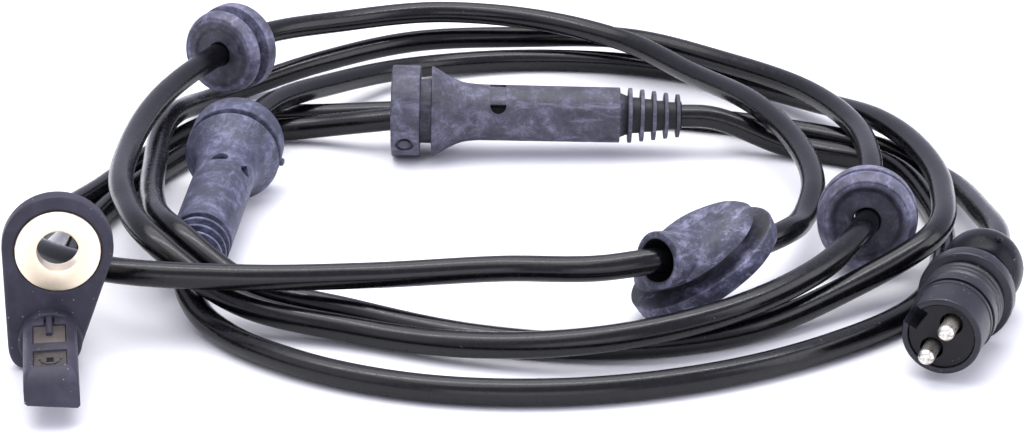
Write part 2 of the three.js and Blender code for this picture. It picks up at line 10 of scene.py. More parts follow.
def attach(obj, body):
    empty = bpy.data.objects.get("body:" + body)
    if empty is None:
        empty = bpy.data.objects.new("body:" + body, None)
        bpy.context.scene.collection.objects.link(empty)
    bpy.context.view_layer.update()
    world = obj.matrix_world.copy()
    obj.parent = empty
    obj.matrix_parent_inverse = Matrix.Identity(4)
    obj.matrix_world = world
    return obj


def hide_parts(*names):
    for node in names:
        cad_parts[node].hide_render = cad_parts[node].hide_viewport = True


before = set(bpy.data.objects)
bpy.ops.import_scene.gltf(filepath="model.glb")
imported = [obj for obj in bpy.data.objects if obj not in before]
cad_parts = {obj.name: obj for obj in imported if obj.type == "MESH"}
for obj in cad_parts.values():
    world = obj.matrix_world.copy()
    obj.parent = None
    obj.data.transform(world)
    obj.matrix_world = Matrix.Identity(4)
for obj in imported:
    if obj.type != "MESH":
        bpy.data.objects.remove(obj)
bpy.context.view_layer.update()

MM = 0.001
scene = bpy.context.scene
scene.view_settings.view_transform = "Standard"

# Camera, as the photograph sees the part
CAMERA_HEIGHT = 0.2318
CAMERA_PLACE = (0.00554, -0.5028, CAMERA_HEIGHT)
CAMERA_LENS = 101.95
SENSOR_WIDTH = 36
LOOKING_DOWN = 22
TURNED = -9

camera_data = bpy.data.cameras.new("camera")
camera_data.lens = CAMERA_LENS
camera_data.sensor_width = SENSOR_WIDTH
camera_data.clip_start = 0.01
camera = bpy.data.objects.new("camera", camera_data)
camera.location = CAMERA_PLACE
camera.rotation_euler = (math.radians(90 - LOOKING_DOWN), 0, math.radians(TURNED))
scene.collection.objects.link(camera)
scene.camera = camera

# Sizes in millimetres, the same as the solids' or close to them
CABLE = 5.2
FIT = 0.3
CABLE_HOLE = CABLE / 2 + FIT
RUBBER_HOLE = CABLE_HOLE - 0.2
FLANGE_FRONT = 5
FLANGE_THICKNESS = 3.4
NOSE_X = -2.4
NOSE_HALF = 5
NOSE_TOP = 11.5
WINDOW_HALF = 3.1
WINDOW_FLOOR = 10.6
WINDOWS = ((-8.6, -0.4), (-18.6, -12))
PAD_GAP = 0.15
PAD_BOTTOM, PAD_TOP = 8.6, 11.2
JACKET_START = 13
CABLE_EXIT_HEIGHT = 7.5
BLOCK_BACK = 14.5
GLAND_LENGTH = 7.2
BUSH_HEIGHT = 23.9
BUSH_RADIUS = 8
BUSH_HOLE = BUSH_RADIUS + 0.05
BARREL_THROAT = 18
BARREL_LENGTH = 65.3
ROUND_DEPTH = 10.0
ROUND_RECESS = 1.8
COLLAR_END = 26.4
COLLAR_MOUTH = 6
SLANTED_LEAN = 49
SLANTED_TWIST = 32
SLANTED_MIDDLE = 14.4
SLANTED_REAR, SLANTED_GROOVE, SLANTED_FRONT = 4.5, 3.2, 3.4
SLANTED_HALF = (SLANTED_REAR + SLANTED_GROOVE + SLANTED_FRONT) / 2
SLANTED_AXIS = (0, math.sin(math.radians(SLANTED_LEAN)), math.cos(math.radians(SLANTED_LEAN)))
SLANTED_GROOVE_START = SLANTED_MIDDLE * SLANTED_AXIS[2] - SLANTED_HALF + SLANTED_REAR
REAR_MOUTH = 12
STRAIGHT = 5
CONNECTOR_LENGTH = 38.7
CABLE_IN_CONNECTOR = 8

# Where each piece on the cable sits: its first end, and a point that it faces
SEATS = {
    "round_left": ((38, 136.9, 16.6), (44, 145, 16.4), 0),
    "round_right": ((161.3, 22.6, 12.3), (164.2, 32.1, 10.7), 0),
    "barrel_left": ((39.6, 96.3, 10.4), (28.5, 46.2, 7.6), 0),
    "barrel_back": ((75.1, 109.6, 10.5), (139.6, 99.9, 9), 0),
    "slanted": ((135.3, 18.1, 10.8), (111.1, 1, 15.9), 10),
    "connector": ((181.2, 5.8, 9.5), (161.8, -27.7, 9.5), 57.6),
    "head": ((NOSE_X, JACKET_START, CABLE_EXIT_HEIGHT), (NOSE_X, 99, CABLE_EXIT_HEIGHT), 0),
}


def along(seat, distance):
    """A point at a distance along a seat's direction, in millimetres."""
    at, toward, _ = SEATS[seat]
    direction = (Vector(toward) - Vector(at)).normalized()
    return Vector(at) + direction * distance


def seat_matrix(seat):
    """The seat's own frame in metres: Z along the piece, Y upwards before the roll."""
    at, toward, roll = SEATS[seat]
    direction = (Vector(toward) - Vector(at)).normalized()
    across = Vector((0, 0, 1)).cross(direction).normalized()
    upwards = direction.cross(across)
    turn = Matrix((across, upwards, direction)).transposed().to_4x4()
    return Matrix.Translation(Vector(at) * MM) @ turn @ Matrix.Rotation(math.radians(roll), 4, "Z")


# The cable's route in millimetres, the same points as the solid's
ROUTE = [
    along("head", 0), along("head", BLOCK_BACK - JACKET_START + GLAND_LENGTH + FIT),
    (1.2, 47, 3.1), (7.2, 72.5, 2.7), (20.7, 97.5, 2.8), (33.2, 113.8, 2.9), (42.5, 120.4, 2.9),
    (55.2, 120.4, 3.5), (70.2, 114, 6.6), along("barrel_back", BARREL_THROAT),
    along("barrel_back", 42), along("barrel_back", BARREL_LENGTH),
    along("barrel_back", BARREL_LENGTH + STRAIGHT), (162.2, 94, 3.1), (181.2, 78, 3.2),
    (184.2, 52.5, 2.8), (178.7, 25.5, 2.7), (165.7, 1, 2.7), (143.7, -14.5, 2.7),
    (117.7, -24, 2.7), (90.2, -26, 2.7), (63.7, -19.5, 2.7), (41.2, -4, 2.8), (31.2, 8.5, 2.9),
    (26.2, 19, 3.9), along("barrel_left", BARREL_LENGTH + STRAIGHT),
    along("barrel_left", BARREL_LENGTH), along("barrel_left", 42),
    along("barrel_left", BARREL_THROAT), (48.7, 118.5, 10.5), (65.2, 140, 7.1), (85.2, 157, 4),
    (110.7, 162.5, 2.8), (136.7, 156.5, 2.7), (158.2, 142, 2.8), (175.2, 118.5, 4.1),
    (183.7, 91, 8.5), (185.7, 66, 10.3), (182.7, 41, 11), (173.2, 17, 10.8), (152.2, 6, 5.3),
    (130.2, -4.5, 2.9), (104.2, -7.5, 2.7), (79.2, 0, 2.8), (56.2, 12.5, 4.3), (34.2, 22.8, 8.4),
    (23.5, 33, 14.8), (20.2, 43.5, 14.4), (19.4, 58, 12.3), (20.7, 84, 9.7), (25.7, 117.5, 8.9),
    (38.7, 147.5, 2.7), (63.2, 161, 5.2), (88.2, 172, 5.7), (114.7, 171, 5.8),
    (138.7, 156.5, 8.8), (157.7, 137, 8.5), (171.7, 115, 8.5), (176.7, 89.5, 8.9),
    (173.7, 64, 10), along("round_right", ROUND_DEPTH + STRAIGHT),
    along("round_right", ROUND_DEPTH), along("round_right", ROUND_RECESS - 0.4), (147.2, 5, 10.7),
    (125.7, -8, 8.6), (100.7, -12.5, 6.6), (75.2, -5, 4), (54.7, 6.5, 3.5), (32.7, 16.1, 7.2),
    (18.6, 26.4, 15.9), (13.6, 47.5, 16.9), (15.7, 81.5, 15.7), (25.7, 115, 16.4),
    along("round_left", ROUND_RECESS - 0.4), along("round_left", ROUND_DEPTH),
    along("round_left", ROUND_DEPTH + STRAIGHT), (69.7, 165, 14.1), (94.7, 171.5, 13.1),
    (118.2, 165, 11.9), (136.2, 150, 10.6), (147.7, 127, 9.6), (156.7, 99, 11.1),
    (160.2, 74.5, 10.3), (157.2, 49.5, 9.5), (150.7, 34.5, 8.6), (146, 26.8, 9.9),
    along("slanted", -3), along("slanted", REAR_MOUTH + 0.5),
    along("slanted", COLLAR_END - COLLAR_MOUTH + 0.3), (113.3, 4, 14.9), (104.2, 3.6, 14.3),
    (85, 10, 12.7), (59.7, 13, 11.7), (33.7, 13, 13), (9.7, 19, 13.7), (-4.3, 37.5, 11.4),
    (-1.8, 65.5, 6.2), (9.2, 90, 3.1), (20.2, 109, 2.8), (39.2, 130.5, 2.7), (65.7, 130.5, 2.7),
    (90.7, 129, 2.7), (116.2, 124.5, 2.7), (141.2, 117, 2.7), (163.7, 105, 2.7), (183.7, 88, 2.7),
    (191.7, 67, 3), (191.2, 42, 6), along("connector", -9), along("connector", 0),
    along("connector", CABLE_IN_CONNECTOR),
]
ROUTE = [Vector(point) * MM for point in ROUTE]


def route_tangents(points):
    """The slope at each point of the parabola through it and its two neighbours."""
    spans = [(b - a).length for a, b in zip(points, points[1:])]
    tangents = [(points[1] - points[0]) / spans[0]]
    for i in range(1, len(points) - 1):
        before, after = spans[i - 1], spans[i]
        tangents.append(
            points[i - 1] * (-after / (before * (before + after)))
            + points[i] * ((after - before) / (before * after))
            + points[i + 1] * (before / (after * (before + after)))
        )
    tangents.append((points[-1] - points[-2]) / spans[-1])
    return tangents, spans


def cable_curve():
    """The cable as one open curve through the route, and its length."""
    tangents, spans = route_tangents(ROUTE)
    data = bpy.data.curves.new("cable_jacket", "CURVE")
    data.dimensions = "3D"
    data.resolution_u = 14
    data.bevel_depth = CABLE / 2 * MM
    data.bevel_resolution = 6
    data.use_fill_caps = True
    spline = data.splines.new("BEZIER")
    spline.bezier_points.add(len(ROUTE) - 1)
    length = 0
    for i, point in enumerate(ROUTE):
        knot = spline.bezier_points[i]
        knot.co = point
        back = spans[i - 1] if i else spans[0]
        front = spans[i] if i < len(spans) else spans[-1]
        knot.handle_left = point - tangents[i] * back / 3
        knot.handle_right = point + tangents[i] * front / 3
    for first, second in zip(spline.bezier_points, spline.bezier_points[1:]):
        last = first.co
        for step in range(1, 21):
            t = step / 20
            here = (
                first.co * (1 - t) ** 3 + first.handle_right * 3 * t * (1 - t) ** 2
                + second.handle_left * 3 * t * t * (1 - t) + second.co * t ** 3
            )
            length += (here - last).length
            last = here
    curve = bpy.data.objects.new("cable_jacket", data)
    scene.collection.objects.link(curve)
    return curve, length


cable, cable_length = cable_curve()


# Shader helpers
def new_look(name, colour, roughness, **sockets):
    """A material, its node tree and its shader, with constants set on the shader's own sockets."""
    look = bpy.data.materials.new(name)
    look.use_nodes = True
    shader = look.node_tree.nodes["Principled BSDF"]
    shader.inputs["Base Color"].default_value = (*colour, 1)
    shader.inputs["Roughness"].default_value = roughness
    for socket, value in sockets.items():
        shader.inputs[socket.replace("_", " ")].default_value = value
    look.diffuse_color = (*colour, 1)
    return look, look.node_tree, shader


def place_of(tree, stretch=(1, 1, 1)):
    """The object's own coordinates, stretched."""
    coordinates = tree.nodes.new("ShaderNodeTexCoord")
    mapping = tree.nodes.new("ShaderNodeMapping")
    mapping.inputs["Scale"].default_value = stretch
    tree.links.new(coordinates.outputs["Object"], mapping.inputs["Vector"])
    return mapping.outputs["Vector"]


def noise_of(tree, place, scale, detail, rough, distortion=0):
    """A noise texture's grey."""
    texture = tree.nodes.new("ShaderNodeTexNoise")
    texture.inputs["Scale"].default_value = scale
    texture.inputs["Detail"].default_value = detail
    texture.inputs["Roughness"].default_value = rough
    texture.inputs["Distortion"].default_value = distortion
    tree.links.new(place, texture.inputs["Vector"])
    return texture.outputs["Fac"]


def ramp_of(tree, value, *stops):
    """A colour ramp with (position, colour or grey) stops."""
    ramp = tree.nodes.new("ShaderNodeValToRGB")
    elements = ramp.color_ramp.elements
    while len(elements) < len(stops):
        elements.new(0.5)
    for element, (position, colour) in zip(elements, stops):
        element.position = position
        element.color = (*colour, 1) if isinstance(colour, tuple) else (colour, colour, colour, 1)
    tree.links.new(value, ramp.inputs["Fac"])
    return ramp.outputs["Color"]


def mix_of(tree, factor, first, second, kind="MIX"):
    """A mix of two colours, each of them a constant or a link."""
    mix = tree.nodes.new("ShaderNodeMix")
    mix.data_type = "RGBA"
    mix.blend_type = kind
    if isinstance(factor, float):
        mix.inputs["Factor"].default_value = factor
    else:
        tree.links.new(factor, mix.inputs["Factor"])
    for socket, value in (("A", first), ("B", second)):
        target = [s for s in mix.inputs if s.name == socket and s.type == "RGBA"][0]
        if isinstance(value, tuple):
            target.default_value = (*value, 1)
        else:
            tree.links.new(value, target)
    return [s for s in mix.outputs if s.type == "RGBA"][0]


def bump_of(tree, shader, height, distance, strength, below=None):
    """Gives the shader a fine relief, on top of another one where that is given."""
    bump = tree.nodes.new("ShaderNodeBump")
    bump.inputs["Distance"].default_value = distance
    bump.inputs["Strength"].default_value = strength
    tree.links.new(height, bump.inputs["Height"])
    if below is not None:
        tree.links.new(below, bump.inputs["Normal"])
    tree.links.new(bump.outputs["Normal"], shader.inputs["Normal"])
    return bump.outputs["Normal"]


def radius_of(tree):
    """The distance from the object's own Z axis."""
    coordinates = tree.nodes.new("ShaderNodeTexCoord")
    split = tree.nodes.new("ShaderNodeSeparateXYZ")
    tree.links.new(coordinates.outputs["Object"], split.inputs["Vector"])
    flat = tree.nodes.new("ShaderNodeCombineXYZ")
    tree.links.new(split.outputs["X"], flat.inputs["X"])
    tree.links.new(split.outputs["Y"], flat.inputs["Y"])
    radius = tree.nodes.new("ShaderNodeVectorMath")
    radius.operation = "LENGTH"
    tree.links.new(flat.outputs["Vector"], radius.inputs[0])
    return radius.outputs["Value"]


def painted_recess_shade_of(tree, shade_radius, least):
    """Painted shade: a grey that falls to its least value close to the object's own Z axis, as in bores,
    bowls and gaps.
    """
    fade_start, fade_end = shade_radius - 0.4, shade_radius + 0.2
    fade = tree.nodes.new("ShaderNodeMapRange")
    fade.inputs["From Min"].default_value = fade_start * MM
    fade.inputs["From Max"].default_value = fade_end * MM
    fade.inputs["To Min"].default_value = least
    fade.inputs["To Max"].default_value = 1
    tree.links.new(radius_of(tree), fade.inputs["Value"])
    return fade.outputs["Result"]


def painted_groove_shade_and_light_of(tree, axis, low, high, least, behind):
    """Painted shade and painted light: a grey that is least between two places along an axis, 1 past them
    and another behind them.
    """
    coordinates = tree.nodes.new("ShaderNodeTexCoord")
    along_axis = tree.nodes.new("ShaderNodeVectorMath")
    along_axis.operation = "DOT_PRODUCT"
    along_axis.inputs[1].default_value = axis
    tree.links.new(coordinates.outputs["Object"], along_axis.inputs[0])
    fade_width = 0.15
    edges = []
    for start, end, outside in ((low, low + fade_width, behind), (high, high - fade_width, 1)):
        fade = tree.nodes.new("ShaderNodeMapRange")
        fade.inputs["From Min"].default_value = start * MM
        fade.inputs["From Max"].default_value = end * MM
        fade.inputs["To Min"].default_value = outside
        fade.inputs["To Max"].default_value = least
        tree.links.new(along_axis.outputs["Value"], fade.inputs["Value"])
        edges.append(fade.outputs["Result"])
    larger = tree.nodes.new("ShaderNodeMath")
    larger.operation = "MAXIMUM"
    for socket, edge in zip(larger.inputs, edges):
        tree.links.new(edge, socket)
    return larger.outputs["Value"]


def dust_of(tree, place, scale, size, patch_scale, least):
    """Small round specks, more of them in some patches than in others."""
    cells = tree.nodes.new("ShaderNodeTexVoronoi")
    cells.inputs["Scale"].default_value = scale
    cells.inputs["Randomness"].default_value = 1
    tree.links.new(place, cells.inputs["Vector"])
    specks = ramp_of(tree, cells.outputs["Distance"], (size * 0.6, 1.0), (size, 0.0))
    patches = ramp_of(
        tree, noise_of(tree, place, patch_scale, 3, 0.6), (least, 0.0), (least + 0.06, 1.0)
    )
    return mix_of(tree, 1.0, specks, patches, "MULTIPLY")


# Materials
def rubber_look(name, dark, middle, pale, chalk, shade_radius, least, groove=None):
    """Moulded rubber with a chalky bloom, with painted shade near the cable, and painted shade in a leant
    groove with painted light behind it.
    """
    look, tree, shader = new_look(name, middle, 0.6, Specular_IOR_Level=0.5)
    place = place_of(tree)
    patches = noise_of(tree, place, 60, 3, 0.5, 0.4)
    clouds = noise_of(tree, place, 210, 12, 0.8, 0.1)
    smears = noise_of(tree, place_of(tree, (1, 1, 0.22)), 420, 6, 0.7, 0.5)
    grain = noise_of(tree, place, 2600, 3, 0.6)
    base = ramp_of(tree, clouds, (0.4, dark), (0.51, middle), (0.64, pale))
    shade = ramp_of(tree, patches, (0.3, 0.62), (0.7, 1.12))
    body = mix_of(tree, 1.0, base, shade, "MULTIPLY")
    marks = ramp_of(tree, smears, (0.55, 0.0), (0.72, chalk))
    chalky = mix_of(tree, marks, body, tuple(min(1, c * 1.3) for c in pale))
    # Painted shade near the object's own axis: in bores, bowls and gaps
    colour = mix_of(tree, 1.0, chalky, painted_recess_shade_of(tree, shade_radius, least), "MULTIPLY")
    # Painted shade in the leant groove, and painted light on the plate behind it
    if groove:
        colour = mix_of(tree, 1.0, colour, painted_groove_shade_and_light_of(tree, *groove), "MULTIPLY")
    tree.links.new(colour, shader.inputs["Base Color"])
    tree.links.new(ramp_of(tree, clouds, (0.3, 0.46), (0.7, 0.72)), shader.inputs["Roughness"])
    low = bump_of(tree, shader, clouds, 0.00012, 0.7)
    bump_of(tree, shader, grain, 0.00003, 0.8, low)
    return look


def cable_look():
    """A smooth black jacket with faint waves, scuffs and dust."""
    look, tree, shader = new_look("cable", (0.003, 0.003, 0.004), 0.2, Specular_IOR_Level=0.34)
    place = place_of(tree)
    waves = noise_of(tree, place, 70, 2, 0.5)
    scuffs = noise_of(tree, place, 900, 6, 0.7, 0.5)
    film = noise_of(tree, place, 260, 8, 0.75)
    base = ramp_of(
        tree, film, (0.45, (0.0022, 0.0021, 0.0031)), (0.66, (0.0046, 0.0046, 0.0066)),
        (0.8, (0.03, 0.03, 0.04)),
    )
    dust = dust_of(tree, place, 420, 0.06, 160, 0.56)
    colour = mix_of(tree, dust, base, (0.16, 0.16, 0.22))
    tree.links.new(colour, shader.inputs["Base Color"])
    tree.links.new(ramp_of(tree, scuffs, (0.35, 0.15), (0.72, 0.33)), shader.inputs["Roughness"])
    low = bump_of(tree, shader, waves, 0.0004, 0.3)
    bump_of(tree, shader, scuffs, 0.00002, 0.3, low)
    return look


def plastic_look(name, colour, roughness, grain_scale=3200, dust=0.25, shine=0.5):
    """Moulded plastic with a fine grain, slight shade changes and a little dust."""
    look, tree, shader = new_look(name, colour, roughness, Specular_IOR_Level=shine)
    place = place_of(tree)
    clouds = noise_of(tree, place, 150, 5, 0.6, 0.5)
    grain = noise_of(tree, place, grain_scale, 3, 0.65)
    specks = dust_of(tree, place, 800, 0.1, 260, 0.44)
    low = tuple(c * 0.72 for c in colour)
    high = tuple(c * 1.35 for c in colour)
    base = ramp_of(tree, clouds, (0.35, low), (0.66, high))
    marks = mix_of(tree, 1.0, specks, (dust, dust, dust), "MULTIPLY")
    tree.links.new(mix_of(tree, marks, base, (0.5, 0.5, 0.6)), shader.inputs["Base Color"])
    tree.links.new(
        ramp_of(tree, clouds, (0.3, roughness * 0.82), (0.7, roughness * 1.22)),
        shader.inputs["Roughness"],
    )
    bump_of(tree, shader, grain, 0.00003, 0.7)
    return look


def turned_metal_look(name, colour, roughness):
    """Turned metal: fine rings round the object's own Z axis."""
    look, tree, shader = new_look(name, colour, roughness, Metallic=1.0)
    line_scale = 5200
    rings_place = tree.nodes.new("ShaderNodeCombineXYZ")
    tree.links.new(radius_of(tree), rings_place.inputs["X"])
    rings = noise_of(tree, rings_place.outputs["Vector"], line_scale, 3, 0.7)
    stains = noise_of(tree, place_of(tree), 260, 5, 0.6, 0.6)
    low = tuple(c * 0.9 for c in colour)
    tree.links.new(ramp_of(tree, stains, (0.3, low), (0.6, colour)), shader.inputs["Base Color"])
    tree.links.new(
        ramp_of(tree, rings, (0.3, roughness * 0.8), (0.7, roughness * 1.3)), shader.inputs["Roughness"]
    )
    bump_of(tree, shader, rings, 0.000004, 0.5)
    return look


def tinned_look():
    """Tinned contact metal, dulled and streaked along its length."""
    look, tree, shader = new_look("tin", (0.8, 0.77, 0.72), 0.3, Metallic=1.0)
    streaks = noise_of(tree, place_of(tree, (1, 1, 0.25)), 900, 5, 0.7, 0.6)
    fine = noise_of(tree, place_of(tree), 2400, 4, 0.6)
    colour = ramp_of(
        tree, streaks, (0.34, (0.2, 0.18, 0.15)), (0.5, (0.68, 0.65, 0.58)), (0.7, (0.93, 0.91, 0.87))
    )
    tree.links.new(colour, shader.inputs["Base Color"])
    tree.links.new(ramp_of(tree, streaks, (0.3, 0.5), (0.7, 0.24)), shader.inputs["Roughness"])
    bump_of(tree, shader, fine, 0.00004, 0.6)
    return look


LOOKS = {
    "housing": plastic_look("housing", (0.036, 0.034, 0.051), 0.5, dust=0.9, shine=0.25),
    "bush": turned_metal_look("bush", (0.95, 0.82, 0.62), 0.34),
    "carrier": plastic_look("carrier", (0.068, 0.057, 0.052), 0.42, 2000, 0.1),
    "front_pad": plastic_look("front_pad", (0.030, 0.026, 0.026), 0.42, 2000, 0.1),
    "chip": plastic_look("chip", (0.005, 0.005, 0.006), 0.5, shine=0.1),
    "magnet": turned_metal_look("magnet", (0.42, 0.43, 0.46), 0.35),
    "copper": turned_metal_look("copper", (0.72, 0.36, 0.18), 0.35),
    "white_wire": plastic_look("white_wire", (0.68, 0.67, 0.62), 0.45),
    "black_wire": plastic_look("black_wire", (0.012, 0.012, 0.013), 0.45),
    "cable": cable_look(),
    # For each rubber: the radius within which painted shade darkens it near the cable, and the least factor
    # of that shade
    "pale_rubber": rubber_look(
        "pale_rubber", dark=(0.026, 0.028, 0.050), middle=(0.064, 0.069, 0.121),
        pale=(0.20, 0.21, 0.32), chalk=0.5, shade_radius=4.8, least=0.22,
    ),
    "streaked_rubber": rubber_look(
        "streaked_rubber", dark=(0.022, 0.023, 0.039), middle=(0.064, 0.066, 0.108),
        pale=(0.26, 0.265, 0.38), chalk=0.7, shade_radius=4.7, least=0.15,
        # Painted shade in the panel groove, and painted light that makes the rear plate behind it 1.7 times
        # brighter
        groove=(
            SLANTED_AXIS, SLANTED_GROOVE_START - 0.1, SLANTED_GROOVE_START + SLANTED_GROOVE + 0.1,
            0.28, 1.7,
        ),
    ),
    "dark_rubber": rubber_look(
        "dark_rubber", dark=(0.025, 0.025, 0.040), middle=(0.057, 0.057, 0.088),
        pale=(0.17, 0.17, 0.245), chalk=0.6, shade_radius=4.8, least=0.1,
    ),
    "black_rubber": rubber_look(
        "black_rubber", dark=(0.055, 0.055, 0.086), middle=(0.120, 0.120, 0.186),
        pale=(0.29, 0.29, 0.42), chalk=0.5, shade_radius=7.9, least=0.38,
    ),
    "shell": plastic_look("shell", (0.006, 0.006, 0.0125), 0.34, dust=0.5, shine=0.4),
    "core": plastic_look("core", (0.0045, 0.004, 0.0055), 0.4, dust=0.2, shine=0.25),
    "boot": plastic_look("boot", (0.003, 0.003, 0.006), 0.3, dust=0.7, shine=0.12),
    "seal": plastic_look("seal", (0.007, 0.007, 0.009), 0.36, 2400, 0.3),
    "tin": tinned_look(),
}


# Mesh helpers. One seed makes the rubber's unevenness the same in each run
UNEVEN_SEED = 7
noise.seed_set(UNEVEN_SEED)


def settle(piece):
    """Turns the piece's modifiers into its mesh."""
    bpy.context.view_layer.update()
    graph = bpy.context.evaluated_depsgraph_get()
    made = bpy.data.meshes.new_from_object(piece.evaluated_get(graph))
    piece.modifiers.clear()
    piece.data = made


def smooth(piece, angle=32):
    """Shades the piece smoothly, save across edges sharper than an angle."""
    for polygon in piece.data.polygons:
        polygon.use_smooth = True
    piece.data.set_sharp_from_angle(angle=math.radians(angle))


def linked(name, mesh, matrix=None):
    """A new object in the scene."""
    piece = bpy.data.objects.new(name, mesh)
    scene.collection.objects.link(piece)
    if matrix is not None:
        piece.matrix_world = matrix
    return piece


def mesh_from(name, vertices, faces):
    """A mesh from points in millimetres, with its faces turned outwards."""
    mesh = bpy.data.meshes.new(name)
    mesh.from_pydata([Vector(v) * MM for v in vertices], [], faces)
    tidy = bmesh.new()
    tidy.from_mesh(mesh)
    bmesh.ops.remove_doubles(tidy, verts=tidy.verts, dist=1e-7)
    bmesh.ops.recalc_face_normals(tidy, faces=tidy.faces)
    tidy.to_mesh(mesh)
    tidy.free()
    return mesh


def rounded(points, steps):
    """Profile points (along, radius, corner) with each corner rounded off at that reach."""
    largest_share = 0.48
    made = []
    count = len(points)
    for i, (height, radius, corner) in enumerate(points):
        here = Vector((height, radius))
        into = Vector(points[i - 1][:2]) - here
        away = Vector(points[(i + 1) % count][:2]) - here
        reach = min(corner, into.length * largest_share, away.length * largest_share)
        if reach < 1e-4:
            made.append(here)
            continue
        start = here + into.normalized() * reach
        end = here + away.normalized() * reach
        for step in range(steps + 1):
            t = step / steps
            made.append(start * (1 - t) ** 2 + here * 2 * t * (1 - t) + end * t * t)
    return made


def revolved(name, profile, segments, steps):
    """A mesh turned round local Z. A profile that touches the axis starts and ends on it."""
    points = rounded(profile, steps)
    closed = profile[0][1] > 0
    vertices = []
    rings = []
    for point in points:
        if point.y < 1e-6:
            rings.append([len(vertices)])
            vertices.append((0, 0, point.x))
            continue
        ring = []
        for k in range(segments):
            angle = 2 * math.pi * k / segments
            ring.append(len(vertices))
            vertices.append((point.y * math.cos(angle), point.y * math.sin(angle), point.x))
        rings.append(ring)
    faces = []
    pairs = list(zip(rings, rings[1:] + rings[:1])) if closed else list(zip(rings, rings[1:]))
    for first, second in pairs:
        if len(first) == 1 and len(second) == 1:
            continue
        for k in range(segments):
            n = (k + 1) % segments
            if len(first) == 1:
                faces.append((first[0], second[k], second[n]))
            elif len(second) == 1:
                faces.append((first[k], first[n], second[0]))
            else:
                faces.append((first[k], first[n], second[n], second[k]))
    return mesh_from(name, vertices, faces)


def block(name, low, high, matrix=None):
    """A box between two corners, in millimetres."""
    (x0, y0, z0), (x1, y1, z1) = low, high
    vertices = [(x, y, z) for x in (x0, x1) for y in (y0, y1) for z in (z0, z1)]
    faces = [(0, 1, 3, 2), (4, 6, 7, 5), (0, 4, 5, 1), (2, 3, 7, 6), (0, 2, 6, 4), (1, 5, 7, 3)]
    return linked(name, mesh_from(name, vertices, faces), matrix)


def turned(name, profile, matrix, segments=96, steps=4):
    """A revolved piece, set in place by a matrix."""
    return linked(name, revolved(name, profile, segments, steps), matrix)


def rod(name, radius, start, end, matrix, segments):
    """A plain round rod along local Z."""
    return turned(
        name, [(start, 0, 0), (start, radius, 0), (end, radius, 0), (end, 0, 0)], matrix, segments
    )


def combine(piece, tools, operation="DIFFERENCE"):
    """Cuts the tools out of the piece, or adds them to it, and removes them."""
    for tool in tools:
        change = piece.modifiers.new("change", "BOOLEAN")
        change.operation = operation
        change.solver = "EXACT"
        change.object = tool
    settle(piece)
    for tool in tools:
        bpy.data.objects.remove(tool)


def round_edges(piece, width, segments, angle=30):
    """Rounds off every edge that is sharper than an angle."""
    bevel = piece.modifiers.new("round", "BEVEL")
    bevel.width = width * MM
    bevel.segments = segments
    bevel.limit_method = "ANGLE"
    bevel.angle_limit = math.radians(angle)
    bevel.use_clamp_overlap = True
    settle(piece)


def uneven(piece, amount, size):
    """Moves each point slightly, as in a soft moulding."""
    for vertex in piece.data.vertices:
        place = piece.matrix_world @ vertex.co
        vertex.co += noise.noise_vector(place / (size * MM)) * amount * MM


def join(name, pieces):
    """One object from several that share a place."""
    joined = bmesh.new()
    inverse = pieces[0].matrix_world.inverted()
    for piece in pieces:
        copy = piece.data.copy()
        copy.transform(inverse @ piece.matrix_world)
        joined.from_mesh(copy)
    mesh = bpy.data.meshes.new(name)
    joined.to_mesh(mesh)
    joined.free()
    whole = linked(name, mesh, pieces[0].matrix_world.copy())
    for piece in pieces:
        bpy.data.objects.remove(piece)
    return whole


def finished(piece, look, *nodes):
    """Gives a new piece its material and body, and hides the nodes that it stands for."""
    piece.data.materials.clear()
    piece.data.materials.append(LOOKS[look])
    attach(piece, "root")
    if nodes:
        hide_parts(*nodes)
    return piece


finished(cable, "cable", "cable")


# Sensor head
def flange_outline():
    """The flange's egg outline in X and Z, with its foot rounded."""
    radius, top = 10.4, 24.4
    foot_x, foot_z = 2.8, 2.6
    reach = Vector((foot_x, foot_z - top))
    last = math.atan2(reach.y, reach.x) + math.acos(radius / reach.length)
    points = []
    corner, steps = 5, 64

    def bend(start, middle, end):
        for step in range(9):
            t = step / 8
            points.append(
                Vector(start) * (1 - t) ** 2 + Vector(middle) * 2 * t * (1 - t) + Vector(end) * t * t
            )

    bend((-radius + corner * 0.8, 0), (-radius, 0), (-radius, corner))
    for step in range(steps + 1):
        angle = math.pi + (last - math.pi) * step / steps
        points.append(Vector((radius * math.cos(angle), top + radius * math.sin(angle))))
    bend((foot_x, foot_z), (foot_x - 0.4, 0), (foot_x - corner, 0))
    return points


def flange_plate():
    """A plate with a rounded rim, from a filled curve of the outline and the bush's hole."""
    edge = 0.55
    data = bpy.data.curves.new("flange", "CURVE")
    data.dimensions = "2D"
    data.fill_mode = "BOTH"
    data.extrude = (FLANGE_THICKNESS / 2 - edge) * MM
    data.bevel_depth = edge * MM
    data.bevel_resolution = 3
    data.offset = -edge * MM
    hole = [
        Vector((BUSH_HOLE * math.cos(a), BUSH_HEIGHT + BUSH_HOLE * math.sin(a)))
        for a in [2 * math.pi * k / 96 for k in range(96)]
    ]
    for points in (flange_outline(), hole):
        spline = data.splines.new("POLY")
        spline.points.add(len(points) - 1)
        for knot, point in zip(spline.points, points):
            knot.co = (point.x * MM, point.y * MM, 0, 1)
        spline.use_cyclic_u = True
    outline = bpy.data.objects.new("flange", data)
    scene.collection.objects.link(outline)
    bpy.context.view_layer.update()
    graph = bpy.context.evaluated_depsgraph_get()
    mesh = bpy.data.meshes.new_from_object(outline.evaluated_get(graph))
    bpy.data.objects.remove(outline)
    middle = FLANGE_FRONT + FLANGE_THICKNESS / 2
    mesh.transform(
        Matrix.Translation((0, middle * MM, 0)) @ Matrix.Rotation(math.radians(90), 4, "X")
    )
    return linked("flange", mesh)


